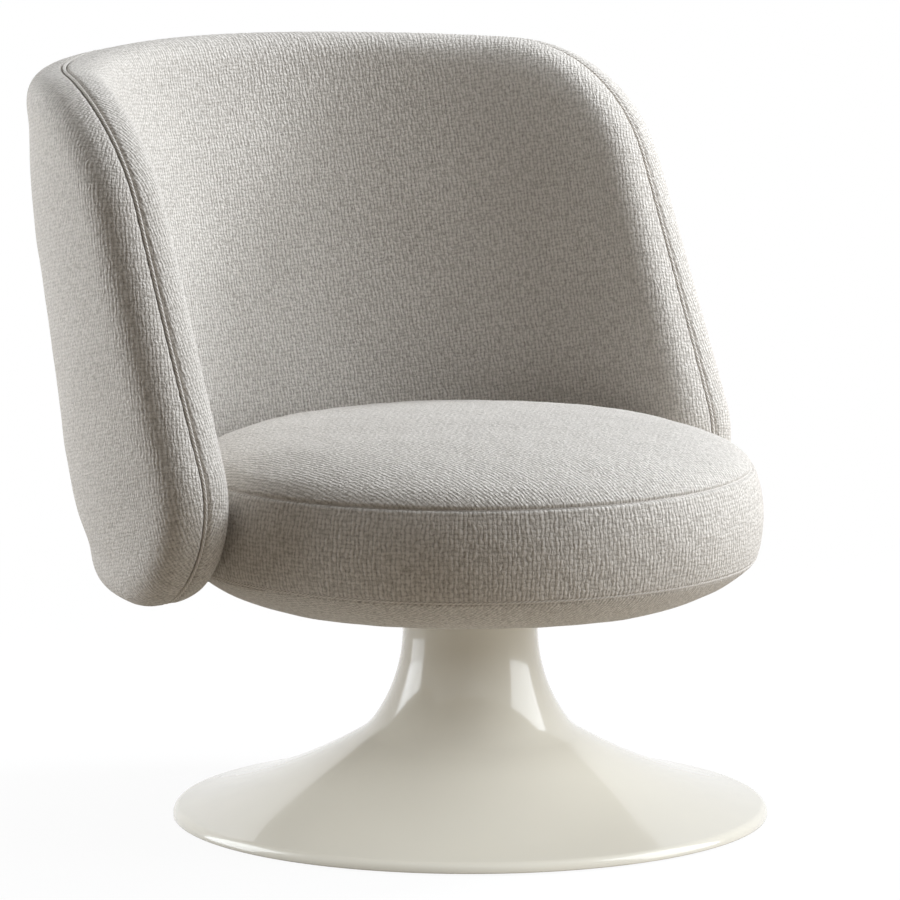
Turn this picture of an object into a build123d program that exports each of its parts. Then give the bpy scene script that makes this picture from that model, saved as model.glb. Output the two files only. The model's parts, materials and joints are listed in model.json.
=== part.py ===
from build123d import *
import os
from math import asin, cos, degrees, hypot, radians, sin, sqrt, tan

os.makedirs("parts", exist_ok=True)

# Swivel armchair in millimetres. The swivel axis is Z, the floor is Z 0, the back is towards +Y.

# Fits
press_fit = 0.02    # radial play of pressed bushes and races
running_fit = 0.05  # radial play of the spindle in its bushes
hole_play = 0.2     # radial play of bolts in drilled holes
thread_play = 0.05  # radial play of a bolt in its thread
tip_room = 0.5      # room past the end of a screw
soft_gap = 1.2      # room round hard pieces inside the foam
flange_gap = 0.3    # room under a tee nut's flange on the curved shell
seam_gap = 0.1      # room between sewn neighbours

# Trumpet base: a slim neck, three tangent hollow curves and a rounded lip
rim_r = 300
rim_lift = 1.5
lip_r = 9.5
lip_z = 2.5
neck_r = 68
neck_top = 221
upper_flare_r = 160
upper_flare_slope = 55
middle_flare_r = 55
middle_flare_slope = 31
lower_flare_r = 600
shell_wall = 4

# Base plate, its floor ring and the screws that hold the shell
base_plate_r = 262
base_plate_t = 6
floor_ring_h = 4
floor_ring_w = 16
landing_inset = 16
landing_w = 16
base_screw_r = 3
base_screw_depth = 6
base_screw_head_r = 5.5
base_screw_head_h = 2.5
base_screw_count = 6

# Pedestal column
column_r = 35
column_wall = 5
column_top = 206
column_flange_r = 60
column_flange_t = 8
column_bolt_circle_r = 47.5
column_bolt_count = 4

# M8 fasteners
bolt_r = 4
bolt_head_r = 6.5
bolt_head_h = 5
low_head_h = 3
tee_nut_r = 5.5
tee_nut_h = 11
tee_flange_r = 11
tee_flange_t = 1.5

# Swivel: spindle, two bushes, a ball thrust bearing and a retaining ring
spindle_r = 15
spindle_tail = 14
bush_flange_t = 4
race_play = 1
bush_length = 30
lower_bush_z = 60
race_r = 28
race_t = 3
ball_r = 3.2
ball_circle_r = 22
ball_count = 14
ball_play = 0.05
cage_t = 2.4
cage_w = 9
washer_r = 24
washer_t = 2
axial_play = 0.3
circlip_t = 1.9
circlip_depth = 1.5
circlip_w = 5
circlip_mouth = 8

# Swivel plate under the seat board
swivel_plate_side = 180
swivel_plate_t = 5
swivel_hub_r = 28
swivel_bolt_spacing = 130
plate_corner_r = 15

# Seat cushion section: crown, shoulder, band and curved underside
crown_z = 402.5
crown_arc_r = 2000
crown_reach = 200
shoulder_arc_r = 190
shoulder_slope = 25
upper_seam_r = 284
upper_seam_z = 356
band_r = 294
lower_seam_r = 287.5
lower_seam_z = 264
under_z = 224.5
under_flat_r = 193.5
under_hole_r = 58
cover_t = 2
seat_welt_r = 3
welt_room = 0.4

# Seat board
board_r = 238
board_t = 18
board_z = 236

# Back pad: a leaning tube round the seat, trimmed by four planes
lean_deg = 12.4
lean_z = 330
back_gap = 6        # room between the seat band and the back's inner face
pad_t = 88
pad_crown_flat = 14
back_top_z = 753.6
back_top_slope = 1.6
back_bottom_z = 238.5
wing_top_deg = 80.75
wing_top_z = 733.8
wing_bottom_deg = 94.55
top_corner_r = 183
bottom_corner_r = 107.5
back_welt_w = 5
back_welt_proud = 1.5
back_shell_t = 12
back_shell_inset = 40

# Back brackets: flat bars on the seat board, bent up against the back shell
bracket_t = 5
bracket_w = 40
bracket_degs = (-65, 0, 65)
bracket_arm_r = 120
bracket_leg_h = 115
bracket_seat = 1.2
bar_slot = 4
arm_bolt_rs = (140, 205)
leg_bolt_hs = (62, 97)

# Heights and radii that follow from the sizes above
plate_bottom = floor_ring_h
landing_r = base_plate_r - floor_ring_w - landing_inset
plate_top = plate_bottom + base_plate_t
column_bore_r = column_r - column_wall
bearing_z = column_top + bush_flange_t
ball_z = bearing_z + race_t + ball_r + ball_play
upper_race_z = ball_z + ball_r + ball_play
swivel_hub_z = upper_race_z + race_t
swivel_plate_z = board_z - swivel_plate_t
board_top = board_z + board_t
washer_z = lower_bush_z - axial_play - washer_t
circlip_z = washer_z - axial_play - circlip_t
spindle_end = circlip_z - spindle_tail
pad_in_r = band_r + back_gap
pad_mid_r = pad_in_r + pad_t / 2
pad_out_r = pad_in_r + pad_t
rim_fillet = (pad_t - pad_crown_flat) / 2
foam_inset = cover_t + seam_gap
lean_tan = tan(radians(lean_deg))

centre_low = (Align.CENTER, Align.CENTER, Align.MIN)
centre_high = (Align.CENTER, Align.CENTER, Align.MAX)
corner_low = (Align.MIN, Align.MIN)

# The leaning plane has its axis along the back's tube and starts its circles at the open front
lean_axis = (0, sin(radians(lean_deg)), cos(radians(lean_deg)))
lean_front = (0, -cos(radians(lean_deg)), sin(radians(lean_deg)))
lean_plane = Plane(origin=(0, 0, lean_z), x_dir=lean_front, z_dir=lean_axis)


def tube_reach(radius, angle_deg, z):
    """Level distance from the swivel axis to the leaning tube of a radius, at an angle from +Y."""
    angle = radians(angle_deg)
    lean_cos = cos(radians(lean_deg))
    shift = (z - lean_z) * lean_tan
    a = sin(angle) ** 2 + (cos(angle) * lean_cos) ** 2
    half_b = shift * cos(angle) * lean_cos**2
    c = (shift * lean_cos) ** 2 - radius**2
    return (half_b + sqrt(half_b**2 - a * c)) / a


def tube_point(radius, angle_deg, z):
    """Point of the leaning tube at an angle round its own axis and a height."""
    angle = radians(angle_deg)
    level_y = radius * cos(angle) / cos(radians(lean_deg))
    return Vector(radius * sin(angle), level_y + (z - lean_z) * lean_tan, z)


def back_planes(inset):
    """The four planes that trim the back, facing out and moved in by the inset."""
    top_point = tube_point(pad_mid_r, 0, back_top_z)
    slope = radians(back_top_slope)
    top = Plane(origin=top_point, x_dir=(1, 0, 0), z_dir=(0, -sin(slope), cos(slope)))
    bottom = Plane(origin=(0, 0, back_bottom_z), x_dir=(1, 0, 0), z_dir=(0, 0, -1))
    planes = [top, bottom]
    for side in (1, -1):
        upper = tube_point(pad_mid_r, side * wing_top_deg, wing_top_z)
        lower = tube_point(pad_mid_r, side * wing_bottom_deg, back_bottom_z)
        middle = radians(side * (wing_top_deg + wing_bottom_deg) / 2)
        outward = Vector(sin(middle), cos(middle), 0)
        facing = outward.cross(upper - lower) * side
        planes.append(Plane(origin=upper, x_dir=outward, z_dir=facing))
    return [plane.offset(-inset) for plane in planes]


def curved_panel(inner_r, outer_r, inset, rim=0):
    """Leaning tube wall trimmed to the back's rounded outline, with its rims filleted."""
    with BuildPart() as panel:
        with BuildSketch(lean_plane):
            Circle(outer_r)
            Circle(inner_r, mode=Mode.SUBTRACT)
        extrude(amount=2 * back_top_z, both=True)
        for plane in back_planes(inset):
            split(bisect_by=plane, keep=Keep.BOTTOM)
        corners = panel.edges().filter_by(GeomType.LINE).sort_by(Axis.Z)
        fillet(corners[2:], radius=top_corner_r - inset)
        fillet(corners[:2], radius=bottom_corner_r - inset)
        if rim:
            walls = panel.faces().filter_by(GeomType.CYLINDER).sort_by(SortBy.AREA)[-2:]
            fillet(walls.edges(), radius=rim)
    return panel.part


def back_pad(inset):
    """Whole padded back with full round rims, moved in by the inset on every side."""
    return curved_panel(pad_in_r + inset, pad_out_r - inset, inset, rim_fillet - inset)


def lean_core(radius):
    """Solid cylinder along the back's leaning axis."""
    with BuildPart() as core:
        with BuildSketch(lean_plane):
            Circle(radius)
        extrude(amount=2 * back_top_z, both=True)
    return core.part


def back_layer(inner_r, outer_r, inset):
    """Thin layer of the back between two radii, with the back's outline moved in by the inset."""
    blank = curved_panel(pad_in_r, pad_out_r, inset)
    outside = lean_core(outer_r)
    inside = lean_core(inner_r)
    with BuildPart() as layer:
        add(blank)
        add(outside, mode=Mode.INTERSECT)
        add(inside, mode=Mode.SUBTRACT)
    return layer.part


def flare_section(inset, low_r, high_r, low_z):
    """Half section under the trumpet's outer curve, moved in by the inset and kept to a span."""
    with BuildSketch() as section:
        with BuildLine():
            neck = Line((neck_r, neck_top + rim_r), (neck_r, flare_z))
            upper = JernArc(neck @ 1, neck % 1, upper_flare_r, 90 - upper_flare_slope)
            middle = JernArc(upper @ 1, upper % 1, middle_flare_r, upper_flare_slope - middle_flare_slope)
            lower = JernArc(middle @ 1, middle % 1, lower_flare_r, middle_flare_slope - lip_slope)
            lip = JernArc(lower @ 1, lower % 1, lip_r, lip_slope - 90)
            Polyline(lip @ 1, (rim_r, -rim_r), (-rim_r, -rim_r), (-rim_r, neck_top + rim_r), neck @ 0)
        make_face()
        if inset:
            offset(amount=-inset, mode=Mode.REPLACE)
        with Locations((low_r, low_z)):
            Rectangle(high_r - low_r, neck_top - low_z, align=corner_low, mode=Mode.INTERSECT)
    return section.sketch


def cushion_section(inset):
    """Half section of the seat cushion, moved in by the inset."""
    with BuildSketch() as section:
        with BuildLine():
            turn = degrees(asin(crown_reach / crown_arc_r))
            crown = JernArc((0, crown_z), (1, 0), crown_arc_r, -turn)
            shoulder = JernArc(crown @ 1, crown % 1, shoulder_arc_r, turn - shoulder_slope)
            TangentArc(shoulder @ 1, (upper_seam_r, upper_seam_z), tangent=shoulder % 1)
            band_middle = (band_r, (upper_seam_z + lower_seam_z) / 2)
            ThreePointArc((upper_seam_r, upper_seam_z), band_middle, (lower_seam_r, lower_seam_z))
            TangentArc((under_flat_r, under_z), (lower_seam_r, lower_seam_z), tangent=(1, 0))
            Polyline((under_flat_r, under_z), (-band_r, under_z), (-band_r, crown_z), (0, crown_z))
        make_face()
        if inset:
            offset(amount=-inset, kind=Kind.INTERSECTION, mode=Mode.REPLACE)
        with Locations((0, under_z)):
            Rectangle(band_r, crown_z - under_z, align=corner_low, mode=Mode.INTERSECT)
    return section.sketch


def cover_ring(low_r, low_z, high_z):
    """The cushion's cover from a radius out and between two heights, clear of the welts."""
    with BuildPart() as cover:
        with BuildSketch(Plane.XZ):
            add(cushion_outer)
            add(cushion_inner, mode=Mode.SUBTRACT)
            with Locations((low_r, low_z)):
                Rectangle(band_r, high_z - low_z, align=corner_low, mode=Mode.INTERSECT)
            with Locations(*seat_seams):
                Circle(seat_welt_r + seam_gap, mode=Mode.SUBTRACT)
        revolve(axis=Axis.Z)
    return cover.part


def seat_welt(seam):
    """Piping cord round a seat seam."""
    with BuildPart() as welt:
        with BuildSketch(Plane.XZ):
            with Locations(seam):
                Circle(seat_welt_r)
        revolve(axis=Axis.Z)
    return welt.part


def ring(inner_r, outer_r, z, height):
    """Flat ring standing on a height."""
    with BuildPart() as flat_ring:
        with BuildSketch(Plane.XY.offset(z)):
            Circle(outer_r)
            Circle(inner_r, mode=Mode.SUBTRACT)
        extrude(amount=height)
    return flat_ring.part


def radial_plane(angle_deg):
    """Upright plane through the swivel axis: X runs out from it, Y runs up."""
    angle = radians(angle_deg)
    return Plane(origin=(0, 0, 0), x_dir=(sin(angle), cos(angle), 0), z_dir=(cos(angle), -sin(angle), 0))


def leg_reaches(angle_deg):
    """Level reach of a bracket leg's outer face at its foot and at its top."""
    leg_r = pad_mid_r - back_shell_t / 2 - bracket_seat
    foot = tube_reach(leg_r, angle_deg, board_top)
    top = tube_reach(leg_r, angle_deg, board_top + bracket_leg_h)
    return foot, top


def bracket_bars(gap):
    """Three flat bars, bent up from the seat board to the back shell, grown by a gap."""
    with BuildPart() as bars:
        for angle_deg in bracket_degs:
            foot, top = leg_reaches(angle_deg)
            leg_top = board_top + bracket_leg_h
            bend = foot - bracket_t + (top - foot) * bracket_t / bracket_leg_h
            with BuildSketch(radial_plane(angle_deg)) as bar:
                with BuildLine():
                    Polyline(
                        (bracket_arm_r, board_top),
                        (foot, board_top),
                        (top, leg_top),
                        (top - bracket_t, leg_top),
                        (bend, board_top + bracket_t),
                        (bracket_arm_r, board_top + bracket_t),
                        close=True,
                    )
                make_face()
                if gap:
                    offset(amount=gap, kind=Kind.INTERSECTION, mode=Mode.REPLACE)
            extrude(amount=bracket_w / 2 + gap, both=True)
    return bars.part


def leg_bolt_planes():
    """Planes on the inner faces of the bracket legs, facing out, one at each bolt."""
    planes = []
    for angle_deg in bracket_degs:
        foot, top = leg_reaches(angle_deg)
        upright = radial_plane(angle_deg)
        length = hypot(top - foot, bracket_leg_h)
        facing = upright.x_dir * (bracket_leg_h / length) - Vector(0, 0, (top - foot) / length)
        for height in leg_bolt_hs:
            reach = foot + (top - foot) * height / bracket_leg_h - bracket_t
            origin = upright.from_local_coords(Vector(reach, board_top + height, 0))
            planes.append(Plane(origin=origin, x_dir=upright.z_dir, z_dir=facing))
    return planes


def arm_bolt_points(z):
    """Points of the bolts that hold the bracket arms, at a height."""
    return [radial_plane(angle_deg).from_local_coords(Vector(reach, z, 0))
            for angle_deg in bracket_degs for reach in arm_bolt_rs]


def swivel_bolt_points(z):
    """Corner points of the swivel plate's bolt square, at a height."""
    half = swivel_bolt_spacing / 2
    return [Vector(x, y, z) for x in (-half, half) for y in (-half, half)]


# Outline of the flare: each curve takes up where the last one's slope ends
upper_sin = sin(radians(upper_flare_slope))
upper_cos = cos(radians(upper_flare_slope))
middle_sin = sin(radians(middle_flare_slope))
middle_cos = cos(radians(middle_flare_slope))
middle_end_r = neck_r + upper_flare_r * (1 - upper_sin) + middle_flare_r * (upper_sin - middle_sin)
lip_sin = (middle_sin - (rim_r - lip_r - middle_end_r) / lower_flare_r) / (1 + lip_r / lower_flare_r)
lip_slope = degrees(asin(lip_sin))
lip_cos = cos(radians(lip_slope))
flare_z = (lip_z + lip_r * lip_cos + lower_flare_r * (lip_cos - middle_cos)
           + middle_flare_r * (middle_cos - upper_cos) + upper_flare_r * upper_cos)

# Trumpet base: a hollow spun shell with a landing ring that stands on the base plate
shell_outer = flare_section(0, 0, rim_r, rim_lift)
shell_inner = flare_section(shell_wall, 0, rim_r, rim_lift)
landing = flare_section(shell_wall / 2, landing_r - landing_w / 2, landing_r + landing_w / 2, plate_top)

with BuildPart() as trumpet_base:
    with BuildSketch(Plane.XZ):
        add(shell_outer)
        add(shell_inner, mode=Mode.SUBTRACT)
        add(landing)
    revolve(axis=Axis.Z)
    with Locations((0, 0, plate_top)):
        with PolarLocations(landing_r, base_screw_count):
            Cylinder(base_screw_r + thread_play, base_screw_depth, align=centre_low, mode=Mode.SUBTRACT)

# Base plate, floor ring and screws
with BuildPart() as base_plate:
    with Locations((0, 0, plate_bottom)):
        Cylinder(base_plate_r, base_plate_t, align=centre_low)
        with PolarLocations(landing_r, base_screw_count):
            Cylinder(base_screw_r + hole_play, base_plate_t, align=centre_low, mode=Mode.SUBTRACT)
        with PolarLocations(column_bolt_circle_r, column_bolt_count):
            Cylinder(bolt_r + hole_play, base_plate_t, align=centre_low, mode=Mode.SUBTRACT)

floor_ring_solid = ring(base_plate_r - floor_ring_w, base_plate_r, 0, floor_ring_h)
with BuildPart() as floor_ring:
    add(floor_ring_solid)

with BuildPart() as base_screws:
    with Locations((0, 0, plate_bottom)):
        with PolarLocations(landing_r, base_screw_count):
            Cylinder(base_screw_r, base_plate_t + base_screw_depth - tip_room, align=centre_low)
            Cylinder(base_screw_head_r, base_screw_head_h, align=centre_high)

# Pedestal column and its bolts
with BuildPart() as pedestal_column:
    with Locations((0, 0, plate_top)):
        Cylinder(column_flange_r, column_flange_t, align=centre_low)
        Cylinder(column_r, column_top - plate_top, align=centre_low)
        Cylinder(column_bore_r, column_top - plate_top, align=centre_low, mode=Mode.SUBTRACT)
        with PolarLocations(column_bolt_circle_r, column_bolt_count):
            Cylinder(bolt_r + thread_play, column_flange_t, align=centre_low, mode=Mode.SUBTRACT)

with BuildPart() as column_bolts:
    with Locations((0, 0, plate_bottom)):
        with PolarLocations(column_bolt_circle_r, column_bolt_count):
            Cylinder(bolt_r, base_plate_t + column_flange_t, align=centre_low)
            Cylinder(bolt_head_r, low_head_h, align=centre_high)

# Bushes
with BuildPart() as upper_bush:
    with Locations((0, 0, column_top - bush_length)):
        Cylinder(column_bore_r - press_fit, bush_length, align=centre_low)
    with Locations((0, 0, column_top)):
        Cylinder(column_r, bush_flange_t, align=centre_low)
    Cylinder(spindle_r + running_fit, 2 * neck_top, mode=Mode.SUBTRACT)

lower_bush_solid = ring(spindle_r + running_fit, column_bore_r - press_fit, lower_bush_z, bush_length)
with BuildPart() as lower_bush:
    add(lower_bush_solid)

# Thrust bearing
lower_race_solid = ring(spindle_r + race_play, race_r, bearing_z, race_t)
with BuildPart() as lower_race:
    add(lower_race_solid)

upper_race_solid = ring(spindle_r + press_fit, race_r, upper_race_z, race_t)
with BuildPart() as upper_race:
    add(upper_race_solid)

cage_ring = ring(ball_circle_r - cage_w / 2, ball_circle_r + cage_w / 2, ball_z - cage_t / 2, cage_t)
with BuildPart() as ball_cage:
    add(cage_ring)
    with Locations((0, 0, ball_z)):
        with PolarLocations(ball_circle_r, ball_count):
            Cylinder(ball_r + hole_play, cage_t, mode=Mode.SUBTRACT)

with BuildPart() as bearing_balls:
    with Locations((0, 0, ball_z)):
        with PolarLocations(ball_circle_r, ball_count):
            Sphere(ball_r)

# Spindle with its groove, washer and retaining ring
groove_ring = ring(spindle_r - circlip_depth, 2 * spindle_r, circlip_z - thread_play, circlip_t + 2 * thread_play)
with BuildPart() as spindle:
    with Locations((0, 0, spindle_end)):
        Cylinder(spindle_r, board_z - spindle_end, align=centre_low)
    add(groove_ring, mode=Mode.SUBTRACT)

washer_ring = ring(spindle_r + running_fit, washer_r, washer_z, washer_t)
with BuildPart() as retaining_washer:
    add(washer_ring)

circlip_in_r = spindle_r - circlip_depth + thread_play
circlip_ring = ring(circlip_in_r, circlip_in_r + circlip_w, circlip_z, circlip_t)
with BuildPart() as spindle_circlip:
    add(circlip_ring)
    with Locations((0, spindle_r, circlip_z)):
        Box(circlip_mouth, 2 * circlip_w, 2 * circlip_t, mode=Mode.SUBTRACT)

# Swivel plate with its hub, and the bolts into the seat board
with BuildPart() as swivel_plate:
    with BuildSketch(Plane.XY.offset(swivel_plate_z)):
        RectangleRounded(swivel_plate_side, swivel_plate_side, plate_corner_r)
    extrude(amount=swivel_plate_t)
    with Locations((0, 0, swivel_hub_z)):
        Cylinder(swivel_hub_r, swivel_plate_z - swivel_hub_z, align=centre_low)
    Cylinder(spindle_r + press_fit, 2 * board_top, mode=Mode.SUBTRACT)
    with Locations(*swivel_bolt_points(swivel_plate_z)):
        Cylinder(bolt_r + hole_play, swivel_plate_t, align=centre_low, mode=Mode.SUBTRACT)

with BuildPart() as plate_bolts:
    with Locations(*swivel_bolt_points(swivel_plate_z)):
        Cylinder(bolt_r, swivel_plate_t + board_t, align=centre_low)
        Cylinder(bolt_head_r, low_head_h, align=centre_high)

with BuildPart() as seat_tee_nuts:
    with Locations(*swivel_bolt_points(board_top)):
        Cylinder(tee_nut_r, tee_nut_h, align=centre_high)
        Cylinder(tee_flange_r, tee_flange_t, align=centre_low)
        Cylinder(bolt_r + thread_play, 2 * board_t, mode=Mode.SUBTRACT)

# Seat board
with BuildPart() as seat_board:
    with Locations((0, 0, board_z)):
        Cylinder(board_r, board_t, align=centre_low)
    with Locations(*swivel_bolt_points(board_top), *arm_bolt_points(board_top)):
        Cylinder(bolt_r + hole_play, 2 * board_t, mode=Mode.SUBTRACT)
    with Locations(*swivel_bolt_points(board_top - tee_nut_h), *arm_bolt_points(board_z)):
        Cylinder(tee_nut_r + thread_play, tee_nut_h, align=centre_low, mode=Mode.SUBTRACT)

# Back brackets with their bolts
plain_bars = bracket_bars(0)
bar_room = bracket_bars(bar_slot)
leg_planes = leg_bolt_planes()
leg_stack = bracket_t + bracket_seat + back_shell_t + flange_gap

with BuildPart() as back_brackets:
    add(plain_bars)
    with Locations(*arm_bolt_points(board_top)):
        Cylinder(bolt_r + hole_play, bracket_t, align=centre_low, mode=Mode.SUBTRACT)
    with Locations(*leg_planes):
        Cylinder(bolt_r + hole_play, 4 * bracket_t, mode=Mode.SUBTRACT)

with BuildPart() as bracket_bolts:
    with Locations(*arm_bolt_points(board_top + bracket_t)):
        Cylinder(bolt_r, bracket_t + board_t, align=centre_high)
        Cylinder(bolt_head_r, bolt_head_h, align=centre_low)

with BuildPart() as bracket_tee_nuts:
    with Locations(*arm_bolt_points(board_z)):
        Cylinder(tee_nut_r, tee_nut_h, align=centre_low)
        Cylinder(tee_flange_r, tee_flange_t, align=centre_high)
        Cylinder(bolt_r + thread_play, 2 * board_t, mode=Mode.SUBTRACT)

with BuildPart() as back_bolts:
    with Locations(*leg_planes):
        Cylinder(bolt_r, leg_stack + tee_flange_t, align=centre_low)
        Cylinder(bolt_head_r, bolt_head_h, align=centre_high)

flange_planes = [plane.offset(leg_stack) for plane in leg_planes]
with BuildPart() as back_tee_nuts:
    with Locations(*flange_planes):
        Cylinder(tee_nut_r, tee_nut_h, align=centre_high)
        Cylinder(tee_flange_r, tee_flange_t, align=centre_low)
        Cylinder(bolt_r + thread_play, 2 * leg_stack, mode=Mode.SUBTRACT)

# Seat cushion: foam, three cover panels and two welts
cushion_outer = cushion_section(0)
cushion_inner = cushion_section(cover_t)
cushion_foam = cushion_section(foam_inset)
seat_seams = [(upper_seam_r, upper_seam_z), (lower_seam_r, lower_seam_z)]
upper_welt_solid = seat_welt(seat_seams[0])
lower_welt_solid = seat_welt(seat_seams[1])

with BuildPart() as upper_seat_welt:
    add(upper_welt_solid)

with BuildPart() as lower_seat_welt:
    add(lower_welt_solid)

top_cover = cover_ring(0, upper_seam_z + seam_gap, crown_z)
with BuildPart() as seat_top_panel:
    add(top_cover)

band_cover = cover_ring(upper_seam_r - seat_welt_r, lower_seam_z + seam_gap, upper_seam_z - seam_gap)
with BuildPart() as seat_band:
    add(band_cover)

under_cover = cover_ring(under_hole_r, under_z, lower_seam_z - seam_gap)
with BuildPart() as seat_under_panel:
    add(under_cover)
    add(bar_room, mode=Mode.SUBTRACT)

with BuildPart() as seat_foam:
    with BuildSketch(Plane.XZ):
        add(cushion_foam)
        with Locations((0, under_z)):
            Rectangle(board_r + seam_gap, board_top - under_z, align=corner_low, mode=Mode.SUBTRACT)
        with Locations(*seat_seams):
            Circle(seat_welt_r + welt_room, mode=Mode.SUBTRACT)
    revolve(axis=Axis.Z)
    add(bar_room, mode=Mode.SUBTRACT)
    with Locations(*arm_bolt_points(board_top + bracket_t)):
        Cylinder(bolt_head_r + soft_gap, bolt_head_h + soft_gap, align=centre_low, mode=Mode.SUBTRACT)
    with Locations(*swivel_bolt_points(board_top)):
        Cylinder(tee_flange_r + soft_gap, tee_flange_t + soft_gap, align=centre_low, mode=Mode.SUBTRACT)

# Back shell: moulded plywood in the middle of the pad
shell_in_r = pad_mid_r - back_shell_t / 2
shell_out_r = pad_mid_r + back_shell_t / 2
moulded_shell = back_layer(shell_in_r, shell_out_r, back_shell_inset)
shell_room = back_layer(shell_in_r - seam_gap, shell_out_r + seam_gap, back_shell_inset - seam_gap)

with BuildPart() as back_shell:
    add(moulded_shell)
    with Locations(*leg_planes):
        Cylinder(tee_nut_r + thread_play, 4 * back_shell_t, mode=Mode.SUBTRACT)

# Back foams, covers and welt
pad_outer = back_pad(0)
pad_lining = back_pad(cover_t)
pad_foam = back_pad(foam_inset)
inner_half = lean_core(pad_mid_r - seam_gap)
outer_half = lean_core(pad_mid_r + seam_gap)
inner_cover_core = lean_core(pad_mid_r - back_welt_w / 2 - seam_gap)
outer_cover_core = lean_core(pad_mid_r + back_welt_w / 2 + seam_gap)

with BuildPart() as back_inner_foam:
    add(pad_foam)
    add(inner_half, mode=Mode.INTERSECT)
    add(shell_room, mode=Mode.SUBTRACT)
    add(bar_room, mode=Mode.SUBTRACT)
    with Locations(*leg_planes):
        Cylinder(bolt_head_r + soft_gap, bolt_head_h + soft_gap, align=centre_high, mode=Mode.SUBTRACT)

with BuildPart() as back_outer_foam:
    add(pad_foam)
    add(outer_half, mode=Mode.SUBTRACT)
    add(shell_room, mode=Mode.SUBTRACT)
    with Locations(*flange_planes):
        Cylinder(tee_flange_r + soft_gap, 2 * (tee_flange_t + soft_gap), mode=Mode.SUBTRACT)

with BuildPart() as back_inner_cover:
    add(pad_outer)
    add(pad_lining, mode=Mode.SUBTRACT)
    add(inner_cover_core, mode=Mode.INTERSECT)
    add(bar_room, mode=Mode.SUBTRACT)

with BuildPart() as back_outer_cover:
    add(pad_outer)
    add(pad_lining, mode=Mode.SUBTRACT)
    add(outer_cover_core, mode=Mode.SUBTRACT)

welt_in_r = pad_mid_r - back_welt_w / 2
welt_out_r = pad_mid_r + back_welt_w / 2
welt_outside = back_layer(welt_in_r, welt_out_r, -back_welt_proud)
welt_inside = back_layer(welt_in_r, welt_out_r, cover_t)

with BuildPart() as back_welt:
    add(welt_outside)
    add(welt_inside, mode=Mode.SUBTRACT)

pieces = {
    "trumpet_base": trumpet_base,
    "base_plate": base_plate,
    "floor_ring": floor_ring,
    "base_screws": base_screws,
    "pedestal_column": pedestal_column,
    "column_bolts": column_bolts,
    "upper_bush": upper_bush,
    "lower_bush": lower_bush,
    "lower_race": lower_race,
    "ball_cage": ball_cage,
    "bearing_balls": bearing_balls,
    "upper_race": upper_race,
    "spindle": spindle,
    "retaining_washer": retaining_washer,
    "spindle_circlip": spindle_circlip,
    "swivel_plate": swivel_plate,
    "plate_bolts": plate_bolts,
    "seat_tee_nuts": seat_tee_nuts,
    "seat_board": seat_board,
    "back_brackets": back_brackets,
    "bracket_bolts": bracket_bolts,
    "bracket_tee_nuts": bracket_tee_nuts,
    "back_bolts": back_bolts,
    "back_tee_nuts": back_tee_nuts,
    "seat_foam": seat_foam,
    "seat_top_panel": seat_top_panel,
    "seat_band": seat_band,
    "seat_under_panel": seat_under_panel,
    "upper_seat_welt": upper_seat_welt,
    "lower_seat_welt": lower_seat_welt,
    "back_shell": back_shell,
    "back_inner_foam": back_inner_foam,
    "back_outer_foam": back_outer_foam,
    "back_inner_cover": back_inner_cover,
    "back_outer_cover": back_outer_cover,
    "back_welt": back_welt,
}
for node, piece in pieces.items():
    piece.part.label = node
    export_step(piece.part, f"parts/{node}.step")
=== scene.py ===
"""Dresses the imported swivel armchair: woven upholstery, piping, lacquered base and metalwork in a studio."""

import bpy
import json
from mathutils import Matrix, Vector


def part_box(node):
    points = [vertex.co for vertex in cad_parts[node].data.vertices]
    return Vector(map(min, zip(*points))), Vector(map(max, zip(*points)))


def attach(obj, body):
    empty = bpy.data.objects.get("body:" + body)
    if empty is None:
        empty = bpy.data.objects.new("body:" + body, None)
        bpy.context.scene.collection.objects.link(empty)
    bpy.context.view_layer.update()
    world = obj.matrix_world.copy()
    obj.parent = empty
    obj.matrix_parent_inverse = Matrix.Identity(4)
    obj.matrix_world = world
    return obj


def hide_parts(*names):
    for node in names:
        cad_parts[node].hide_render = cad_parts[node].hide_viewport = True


bl_info = {
    "name": "Swivel armchair",
    "version": (1, 0, 0),
    "blender": (4, 5, 0),
    "location": "View3D > Sidebar > Armchair",
    "description": "Upholsters the packed swivel armchair, lacquers its base and lights it in a studio",
    "category": "Object",
}

import json

import bmesh
import bpy
import numpy as np
from bpy.props import FloatProperty, FloatVectorProperty, PointerProperty
from mathutils import Vector

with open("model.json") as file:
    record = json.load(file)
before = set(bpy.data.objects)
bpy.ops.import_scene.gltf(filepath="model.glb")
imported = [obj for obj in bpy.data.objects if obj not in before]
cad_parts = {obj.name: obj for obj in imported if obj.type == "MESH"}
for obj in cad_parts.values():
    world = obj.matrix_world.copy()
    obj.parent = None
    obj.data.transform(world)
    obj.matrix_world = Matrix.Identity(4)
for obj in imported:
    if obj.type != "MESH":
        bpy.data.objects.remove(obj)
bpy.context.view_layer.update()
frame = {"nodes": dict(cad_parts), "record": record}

base_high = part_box("trumpet_base")[1]
band_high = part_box("seat_band")[1]
crown_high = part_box("seat_top_panel")[1]
under_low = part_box("seat_under_panel")[0]

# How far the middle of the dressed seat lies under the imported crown
crown_settle = 0.0015

# Depth and spread of the groove at the seat's seams and at the back's rim
seat_groove = (0.0038, 0.0018)
rim_groove = (0.0042, 0.0034)

# Rows down the seat's top, band and underside, down each skin of the back and down each side of its rim
seat_rows = (90, 48, 56)
skin_rows = 44
rim_rows = 40

# Points round the seat, the back and the base, along the seat's and the back's piping and round a piping
seat_points = 481
back_points = 601
base_points = 289
seat_piping_points = 2701
back_piping_points = 3601
piping_turn_points = 21

# Shares of the longest wave in the cloth's unevenness, and what brings their sum to about 1
wave_shares = (1.0, 0.71, 0.52, 0.37, 0.29, 0.23)
wave_level = 1.8

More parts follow.
